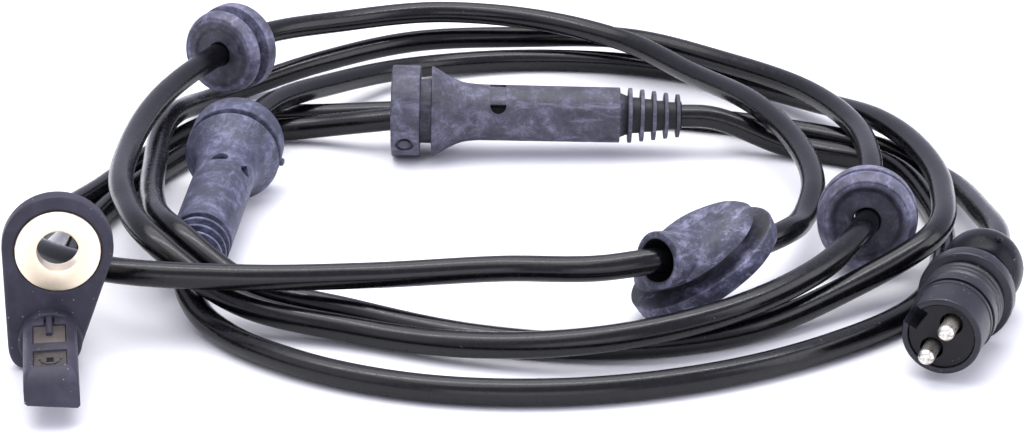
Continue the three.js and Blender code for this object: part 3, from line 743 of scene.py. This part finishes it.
def nose_section(y, top, shoulder, lift=0):
    """A section of the nose: a box with rounded shoulders and small chamfers, its left foot lifted."""
    bottom, chamfer, steps = 4.1, 0.5, 8
    left, right = NOSE_X - NOSE_HALF, NOSE_X + NOSE_HALF
    points = [(left, y, bottom + lift + chamfer), (left + chamfer, y, bottom + lift)]
    points += [(right - chamfer, y, bottom), (right, y, bottom + chamfer)]
    for side in (1, -1):
        for step in range(steps + 1):
            angle = math.pi / 2 * (step / steps if side > 0 else 1 - step / steps)
            x = NOSE_X + side * (NOSE_HALF - shoulder + shoulder * math.cos(angle))
            points.append((x, y, top - shoulder + shoulder * math.sin(angle)))
    return points


def nose_shape():
    """The nose, lofted from the flange to its bevelled end."""
    sections = [
        nose_section(6, NOSE_TOP, 2.6), nose_section(-19.1, NOSE_TOP, 2.3, 0.7),
        nose_section(-19.6, NOSE_TOP - 0.15, 2.1, 0.75), nose_section(-21.75, 9.15, 0.7, 1),
        nose_section(-22, 8.75, 0.5, 1.1),
    ]
    count = len(sections[0])
    vertices = [point for section in sections for point in section]
    faces = [tuple(range(count)), tuple(range(count * (len(sections) - 1), count * len(sections)))]
    for s in range(len(sections) - 1):
        for k in range(count):
            n = (k + 1) % count
            a, b = s * count, (s + 1) * count
            faces.append((a + k, a + n, b + n, b + k))
    return linked("nose", mesh_from("nose", vertices, faces))


def along_y(x, z):
    """A frame whose local Z runs along -Y from a point in X and Z."""
    return Matrix.Translation((x * MM, 0, z * MM)) @ Matrix.Rotation(math.radians(90), 4, "X")


def sensor_head():
    """The head's moulding: flange, nose, boss, rear block and the locating rib in the nose's slot."""
    nose = nose_shape()
    above = 13
    tools = [
        block("window", (NOSE_X - WINDOW_HALF, front, WINDOW_FLOOR), (NOSE_X + WINDOW_HALF, back, above))
        for front, back in WINDOWS
    ]
    slot_half, slot_floor = 1, 10.7
    slot = block("slot", (NOSE_X - slot_half, -4.2, slot_floor), (NOSE_X + slot_half, 4.4, above))
    combine(nose, tools + [slot])
    round_edges(nose, 0.22, 2, 40)
    boss_radius, boss_height = 6, 6.3
    boss = turned(
        "boss", [(-6.5, 0, 0), (-6.5, boss_radius, 0), (-2.8, boss_radius, 0.5), (-2.8, 0, 0)],
        along_y(NOSE_X, boss_height),
    )
    rear_half, rear_start, rear_bottom, rear_top = 5.5, 7.5, 2, 13
    rear = block(
        "rear", (NOSE_X - rear_half, rear_start, rear_bottom), (NOSE_X + rear_half, BLOCK_BACK, rear_top)
    )
    round_edges(rear, 0.9, 4)
    rib_radius, rib_height = 0.62, 11.45
    rib = turned(
        "rib", [(-5, 0, 0), (-5, rib_radius, 0), (4.9, rib_radius, 0.5), (4.9, 0, 0)],
        along_y(NOSE_X, rib_height), 32,
    )
    flange = flange_plate()
    for piece in (boss, rib):
        piece.data.transform(piece.matrix_world)
        piece.matrix_world = Matrix.Identity(4)
    whole = join("sensor_housing_moulded", [flange, nose, boss, rear, rib])
    smooth(whole, 38)
    finished(whole, "housing", "sensor_housing")


sensor_head()


def window_pads():
    """The carrier's pads in the two windows, with a half-ring mark and a slot in the front one, the slot
    darkened by a black sheet of painted shade.
    """
    half = WINDOW_HALF - PAD_GAP
    upper, lower = [
        block(name, (NOSE_X - half, front + PAD_GAP, PAD_BOTTOM), (NOSE_X + half, back - PAD_GAP, PAD_TOP))
        for name, (front, back) in zip(("pad", "front_pad"), WINDOWS)
    ]
    slot_half, slot_front, slot_back = 0.65, -16.7, -14.7
    hole = block("hole", (NOSE_X - slot_half, slot_front, 9.2), (NOSE_X + slot_half, slot_back, 12))
    mark_inner, mark_outer, mark_floor = 1.75, 2.15, 10.95
    mark_y = (slot_front + slot_back) / 2
    mark = turned(
        "mark",
        [(mark_floor, mark_inner, 0), (mark_floor, mark_outer, 0), (12, mark_outer, 0), (12, mark_inner, 0)],
        Matrix.Translation((NOSE_X * MM, mark_y * MM, 0)), 64,
    )
    keep = block("keep", (NOSE_X - 4, -18.3, 10), (NOSE_X + 4, -15.3, 13))
    combine(mark, [keep], "INTERSECT")
    combine(lower, [hole, mark])
    for pad in (upper, lower):
        round_edges(pad, 0.12, 2)
        smooth(pad)
    finished(upper, "carrier")
    finished(lower, "front_pad")
    # A near-black sheet just under the pad's top: painted shade that darkens the slot
    slot_floor = block(
        "slot_floor", (NOSE_X - slot_half, slot_front, 10.98), (NOSE_X + slot_half, slot_back, 11.04)
    )
    finished(slot_floor, "chip")


window_pads()


def mounting_bush():
    """The metal ring in the flange, which stands a little proud of both sides."""
    bore, proud, rim = 3.95, 0.3, 0.3
    length = FLANGE_THICKNESS + 2 * proud
    back = FLANGE_FRONT + FLANGE_THICKNESS + proud
    bush = turned(
        "mounting_bush_turned",
        [(0, bore, rim), (0, BUSH_RADIUS, rim), (length, BUSH_RADIUS, rim), (length, bore, rim)],
        Matrix.Translation((0, back * MM, BUSH_HEIGHT * MM)) @ Matrix.Rotation(math.radians(90), 4, "X"),
        128,
    )
    smooth(bush)
    finished(bush, "bush", "mounting_bush")


mounting_bush()


def cable_gland():
    """The ribbed strain relief behind the head."""
    rings, root, tip, ring_height = 3, 4.6, 3.9, 0.45
    hole = CABLE_HOLE - 0.25
    pitch = GLAND_LENGTH / (rings + 0.5)
    profile = []
    for i in range(rings):
        start = i * pitch
        radius = root - (root - tip) * start / GLAND_LENGTH
        end, neck = start + pitch * 0.6, radius - ring_height
        profile += [(start, radius, 0.15), (end, radius, 0.2)]
        profile += [(end, neck, 0.15), (start + pitch, neck, 0.15)]
    profile += [(rings * pitch, tip, 0.15), (GLAND_LENGTH, tip, 0.3)]
    profile += [(GLAND_LENGTH, hole, 0.1), (0, hole, 0)]
    matrix = Matrix.Translation(
        (NOSE_X * MM, (BLOCK_BACK + FIT) * MM, CABLE_EXIT_HEIGHT * MM)
    ) @ Matrix.Rotation(math.radians(-90), 4, "X")
    gland = turned("cable_gland_ribbed", profile, matrix, 72)
    smooth(gland)
    finished(gland, "seal", "cable_gland")


cable_gland()


# Grommets
def round_grommet(seat, node, front_radius, rear_radius, front, groove, bowl_radius, bowl_depth):
    """A disc with a panel groove, a bevelled front edge and a shallow bowl in its face."""
    face, groove_root, length = 8.7, 7.6, ROUND_DEPTH
    groove_end = front + groove
    profile = [
        (0.0, bowl_radius, 0.5), (0.0, face - 0.2, 0.1), (-0.12, face, 0.1), (0.1, face + 0.3, 0.1),
        (1.5, front_radius, 0.8), (front, front_radius, 0.3), (front, groove_root, 0.3),
        (groove_end, groove_root, 0.3), (groove_end, rear_radius, 0.3),
        (length - 0.9, rear_radius, 0.6), (length, rear_radius - 1.1, 0.5), (length, RUBBER_HOLE, 0.3),
        (bowl_depth, RUBBER_HOLE, 0.4), (bowl_depth, bowl_radius - 0.8, 0.5),
    ]
    grommet = turned(node + "_rubber", profile, seat_matrix(seat), 112)
    uneven(grommet, 0.12, 9)
    smooth(grommet, 36)
    return finished(grommet, "black_rubber", node)


def barrel_profile():
    """A hollow flange, a panel groove, a flared bell, a long barrel and ribs that grow smaller."""
    flange, groove, bell, barrel = 6.4, 2.6, 8.4, 34
    flange_radius, groove_root, least_neck = 10.25, 7.2, 3.1
    bell_start = flange + groove
    barrel_start = bell_start + bell
    ribs_start = barrel_start + barrel
    profile = [
        (0, 7.1, 0.3), (0, flange_radius, 0.6), (flange, flange_radius, 0.4), (flange, groove_root, 0.4),
        (bell_start, groove_root, 0.4), (bell_start, flange_radius, 0.25), (bell_start + 0.5, 10.1, 0.3),
        (bell_start + 4.2, 7.9, 1.6), (barrel_start - 1.5, 6.75, 1.6), (barrel_start + 2.2, 6.35, 1.2),
        (ribs_start, 6.25, 0.2), (ribs_start, 5.1, 0.15),
    ]
    ribs, pitch, width = 5, 2.7, 0.85
    first_radius, last_radius = 6.2, 4.9
    for i in range(ribs):
        radius = first_radius + (last_radius - first_radius) * i / (ribs - 1)
        start = ribs_start + (i + 1) * pitch - width
        neck = radius - 1.9
        profile += [(start, max(neck, least_neck), 0.15), (start, radius, 0.2)]
        profile += [(start + width, radius, 0.2), (start + width, max(neck - 0.2, least_neck), 0.15)]
    profile += [
        (BARREL_LENGTH, 3.3, 0.1), (BARREL_LENGTH, RUBBER_HOLE, 0.1),
        (BARREL_THROAT, RUBBER_HOLE, 1), (flange, 6.3, 1.5),
    ]
    return profile


def barrel_grommet(seat, node, look, tools, nub_place=None):
    """A barrel grommet with holes cut by its tools, and a nub on its flange where a place is given."""
    matrix = seat_matrix(seat)
    grommet = turned(node + "_rubber", barrel_profile(), matrix, 96)
    cutters = []
    for tool in tools:
        cutters += tool(matrix)
    combine(grommet, cutters)
    if nub_place:
        nub = turned(
            "nub", [(9, 0, 0), (9, 0.95, 0), (10.95, 0.85, 0.4), (11.15, 0, 0)],
            across_barrel(matrix, *nub_place), 28,
        )
        combine(grommet, [nub], "UNION")
    uneven(grommet, 0.14, 11)
    smooth(grommet, 36)
    return finished(grommet, look, node)


def across_barrel(matrix, turn, distance):
    """A frame that looks out of a barrel grommet: Z outwards, X back along it, Y round it."""
    return (
        matrix @ Matrix.Translation((0, 0, distance * MM))
        @ Matrix.Rotation(math.radians(turn), 4, "Z") @ Matrix.Rotation(math.radians(90), 4, "Y")
    )


def half_moon_hole(matrix):
    """A half-round window, a flat belt above it, a slot at the belt's end and a ring mark."""
    distance = 23.9
    pierce = across_barrel(matrix, 147, distance)
    low = rod("low", 1.8, 3.4, 8, pierce, 40)
    keep = block("keep", (-4, -0.3, 2), (4, 4, 9), pierce)
    combine(low, [keep], "INTERSECT")
    belt = block("belt", (-1.8, -2.4, 5.85), (1.8, 2.4, 9), across_barrel(matrix, 115, distance))
    slot = block("slot", (-1.8, -1.3, 4.8), (1.8, 1.3, 9), across_barrel(matrix, 82, distance))
    ring = turned(
        "ring", [(9.5, 1.3, 0.1), (9.5, 2, 0.1), (12, 2.1, 0), (12, 1.2, 0)],
        across_barrel(matrix, 209, 3.1), 48,
    )
    return [low, belt, slot, ring]


def teardrop(turn, distance, lean, stretch, radius):
    """A small hole drawn out to a point on one side."""
    def tool(matrix):
        pierce = across_barrel(matrix, turn, distance) @ Matrix.Rotation(math.radians(lean), 4, "Z")
        hole = rod("hole", radius, 3.4, 9, pierce, 24)
        for vertex in hole.data.vertices:
            if vertex.co.x < 0:
                vertex.co.x *= stretch
                vertex.co.y *= max(0, 1 + vertex.co.x / (radius * stretch * MM)) ** 0.5
        return [hole]

    return tool


round_left = round_grommet(
    "round_left", "round_grommet_left", front_radius=9.8, rear_radius=10.2,
    front=2.9, groove=2.9, bowl_radius=6.4, bowl_depth=0.5,
)
round_right = round_grommet(
    "round_right", "round_grommet_right", front_radius=10.1, rear_radius=10.3,
    front=4, groove=1.6, bowl_radius=7.2, bowl_depth=1.8,
)
barrel_back = barrel_grommet("barrel_back", "barrel_grommet_back", "dark_rubber", [half_moon_hole])
barrel_left = barrel_grommet(
    "barrel_left", "barrel_grommet_left", "pale_rubber",
    [
        teardrop(turn=90.2, distance=23.3, lean=-60, stretch=1.5, radius=1.6),
        teardrop(turn=34, distance=24.5, lean=180, stretch=1.9, radius=1.4),
    ],
    nub_place=(345, 5.4),
)


def oval_plate(name, profile, long, wide, matrix):
    """A plate turned round its own axis, narrowed to an oval and leant across the cable."""
    plate = turned(name, profile, matrix, 112, 5)
    plate.data.transform(
        Matrix.Translation((0, 0, SLANTED_MIDDLE * MM))
        @ Matrix.Rotation(math.radians(-SLANTED_LEAN), 4, "X")
        @ Matrix.Rotation(math.radians(-SLANTED_TWIST), 4, "Z") @ Matrix.Diagonal((wide / long, 1, 1, 1))
    )
    return plate


def slanted_grommet():
    """A long oval plate, a panel groove and a domed plate, crossed by a collar with an open mouth."""
    half, slit = SLANTED_HALF, SLANTED_GROOVE
    groove = -half + SLANTED_REAR
    matrix = seat_matrix("slanted")
    long, wide = 16.1, 9.8
    plates = oval_plate("slanted_grommet_rubber", [
        (-half - 0.2, 0, 0), (-half, 8, 3), (-half, long - 0.3, 1.4), (groove, long, 0.5),
        (groove, long - 1.5, 0.2), (groove, 0, 0),
    ], long, wide, matrix)
    long, wide = 13.6, 9
    dome = oval_plate("dome", [
        (groove - 1, 0, 0), (groove - 1, long - 3.4, 0), (groove + slit, long - 3.4, 0.2),
        (groove + slit, long + 0.1, 0.15), (half - 1.9, long - 1.1, 1.2), (half - 0.4, long - 4, 2.2),
        (half + 0.3, 4, 3), (half + 0.3, 0, 0),
    ], long, wide, matrix)
    collar = turned(
        "collar",
        [(8, 0, 0), (8, 5.8, 0), (COLLAR_END - 3.5, 5.5, 1), (COLLAR_END, 5.75, 0.4), (COLLAR_END, 0, 0)],
        matrix, 80,
    )
    combine(plates, [dome, collar], "UNION")
    floor_of_mouth = COLLAR_END - COLLAR_MOUTH
    tools = [
        rod("bore", CABLE_HOLE - 0.15, -30, 60, matrix, 56),
        turned(
            "mouth",
            [
                (floor_of_mouth, 0, 0), (floor_of_mouth, 3.3, 0.5), (floor_of_mouth + 2.5, 4.1, 1),
                (COLLAR_END + 1, 4.35, 0), (COLLAR_END + 1, 0, 0),
            ],
            matrix, 72,
        ),
        rod("rear_mouth", 5.2, -30, REAR_MOUTH, matrix, 56),
    ]
    combine(plates, tools)
    uneven(plates, 0.22, 8)
    smooth(plates, 34)
    return finished(plates, "streaked_rubber", "slanted_grommet")


slanted = slanted_grommet()


# Connector
def key_slot(matrix):
    """The block that cuts the key slot into the connector's front end."""
    half, depth = 2.1, 5.4
    low = (-half, 4.5, CONNECTOR_LENGTH - depth)
    return block("key", low, (half, 9, CONNECTOR_LENGTH + 1), matrix)


def connector_pieces():
    """The connector's shell, seal band, boot, insulator and two pins."""
    matrix = seat_matrix("connector")
    length = CONNECTOR_LENGTH
    shell = turned(
        "connector_shell_moulded",
        [
            (4, 3.6, 0.1), (4, 4.9, 0.2), (9.8, 4.9, 0.2), (9.8, 6.7, 0.2), (12.5, 6.5, 0.8),
            (15.5, 6.9, 0.4), (15.5, 9.25, 0.45), (19, 9.25, 0.5), (19.3, 7.9, 0.2),
            (19.5, 6.7, 0.1), (25.7, 6.7, 0.1), (25.7, 8, 0.25), (28.6, 8, 0.2), (28.6, 7.35, 0.12),
            (29.3, 7.35, 0.12), (29.3, 7.75, 0.12), (30.4, 7.75, 0.1), (30.4, 7.6, 0.1),
            (length, 7.6, 0.55), (length, 6.35, 0.3), (22, 6.35, 0.2), (22, 3.6, 0.2),
        ],
        matrix, 128,
    )
    combine(shell, [key_slot(matrix)])
    smooth(shell, 36)
    finished(shell, "shell", "connector_shell")
    seal = turned(
        "connector_seal_band",
        [
            (19.8, 7, 0.1), (19.8, 7.6, 0.2), (20.8, 8.1, 0.5), (21.8, 7.7, 0.4), (22.7, 8.05, 0.5),
            (23.6, 7.7, 0.4), (24.4, 8.1, 0.5), (25.4, 7.6, 0.2), (25.4, 7, 0.1),
        ],
        matrix, 112,
    )
    smooth(seal, 50)
    finished(seal, "seal", "connector_seal")
    boot = turned(
        "boot",
        [
            (-3, RUBBER_HOLE, 0.1), (-3, 4.1, 0.4), (-2.2, 5.6, 0.8), (-0.4, 7.1, 1.2),
            (2, 7.95, 1.4), (4.2, 8.1, 1.2), (6.4, 7.95, 1.2), (8.2, 7.3, 0.9), (9.5, 6.6, 0.4),
            (9.5, 5.2, 0.1), (3.7, 5.2, 0.1), (3.7, RUBBER_HOLE, 0.1),
        ],
        matrix, 112,
    )
    turn, boot_radius = math.radians(8), 7.95
    nub_place = Vector((boot_radius * math.cos(turn), boot_radius * math.sin(turn), 5.5)) * MM
    nub = turned(
        "nub", [(-1.2, 0, 0), (-1.2, 0.8, 0), (0.45, 0.75, 0.35), (0.7, 0, 0)],
        matrix @ Matrix.Translation(nub_place)
        @ Matrix.Rotation(turn, 4, "Z") @ Matrix.Rotation(math.radians(90), 4, "Y"), 32,
    )
    boot = join("connector_boot_moulded", [boot, nub])
    smooth(boot, 50)
    finished(boot, "boot", "connector_boot")
    back, front = 22.3, length - 0.6
    face = front + 0.2
    core = turned(
        "pin_insulator_moulded",
        [(back, 0, 0), (back, 6.3, 0.2), (face, 6.3, 0.2), (face, 0, 0)], matrix, 96,
    )
    pin_offset, pin_reach, pin_length = 3.2, 5.6, 20.1
    hole_radius, well_radius, well_depth = 1.8, 2.2, 3
    tools = [key_slot(matrix)]
    pins = []
    for side, node in ((1, "contact_pin_upper"), (-1, "contact_pin_lower")):
        place = matrix @ Matrix.Translation((side * pin_offset * MM, 0, 0))
        tools.append(rod("hole", hole_radius, back - 1, front + 1, place, 40))
        tools.append(rod("well", well_radius, front - well_depth, front + 1, place, 40))
        tip = front + pin_reach
        pin = turned(
            node + "_tinned",
            [
                (tip - pin_length, 0, 0), (tip - pin_length, 1.5, 0), (tip - 0.9, 1.55, 0.25),
                (tip - 0.12, 1.05, 0.3), (tip, 0.5, 0.2), (tip, 0, 0),
            ],
            place, 48,
        )
        smooth(pin, 40)
        finished(pin, "tin", node)
        pins.append(pin)
    combine(core, tools)
    smooth(core, 36)
    finished(core, "core", "pin_insulator")
    return [shell, seal, boot, core, *pins]


connector = connector_pieces()

# Nodes that stay as they are, with a finer material
KEPT = {
    "sensor_carrier": "carrier", "sensing_chip": "chip", "bias_magnet": "magnet",
    "signal_lead_left": "copper", "signal_lead_right": "copper", "wire_core_left": "white_wire",
    "wire_core_right": "black_wire", "connector_wire_upper": "white_wire",
    "connector_wire_lower": "black_wire",
}
for node, look in KEPT.items():
    for material_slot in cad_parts[node].material_slots:
        material_slot.material = LOOKS[look]

# Floor and light
FLOOR_SIZE = 6
FLOOR_LEVEL = -0.02
PART_MIDDLE = (0.09, 0.06, 0)
floor = linked("floor", mesh_from("floor", [
    (x * FLOOR_SIZE / 2 / MM, y * FLOOR_SIZE / 2 / MM, FLOOR_LEVEL)
    for x, y in ((-1, -1), (1, -1), (1, 1), (-1, 1))
], [(0, 1, 2, 3)]))
floor_look, _, _ = new_look("floor", (0.94, 0.945, 0.96), 0.6, Specular_IOR_Level=0.2)
floor.data.materials.append(floor_look)

world = bpy.data.worlds.new("studio")
scene.world = world
world.use_nodes = True
background = world.node_tree.nodes["Background"]
background.inputs["Color"].default_value = (0.80, 0.80, 1.0, 1)
background.inputs["Strength"].default_value = 0.9


def area_light(name, place, target, size, power, colour, shine_only=False):
    """A soft light that faces a point. One that is for shine only adds nothing to matt surfaces."""
    data = bpy.data.lights.new(name, "AREA")
    data.shape = "RECTANGLE"
    data.size, data.size_y = size
    data.energy = power
    data.color = colour
    light = bpy.data.objects.new(name, data)
    scene.collection.objects.link(light)
    light.location = place
    light.rotation_euler = (Vector(target) - Vector(place)).to_track_quat("-Z", "Y").to_euler()
    light.visible_diffuse = not shine_only


area_light("key", (0.0, 0.2, 1.1), PART_MIDDLE, (1.5, 1.1), 16, (1, 0.99, 0.97))
area_light("left", (-0.9, -0.3, 0.7), PART_MIDDLE, (0.9, 0.9), 2, (1, 1, 1))
area_light("right", (1.1, -0.3, 0.45), (0.12, 0.06, 0), (0.9, 0.9), 6.5, (0.97, 0.97, 1))
area_light("strip", (0.09, 0.1, 1.0), PART_MIDDLE, (1.4, 0.07), 6, (0.86, 0.88, 1), True)
area_light("front", (-0.1, -1.3, 0.25), (0.05, 0, 0.02), (1.1, 0.7), 4.5, (0.95, 0.95, 1), True)
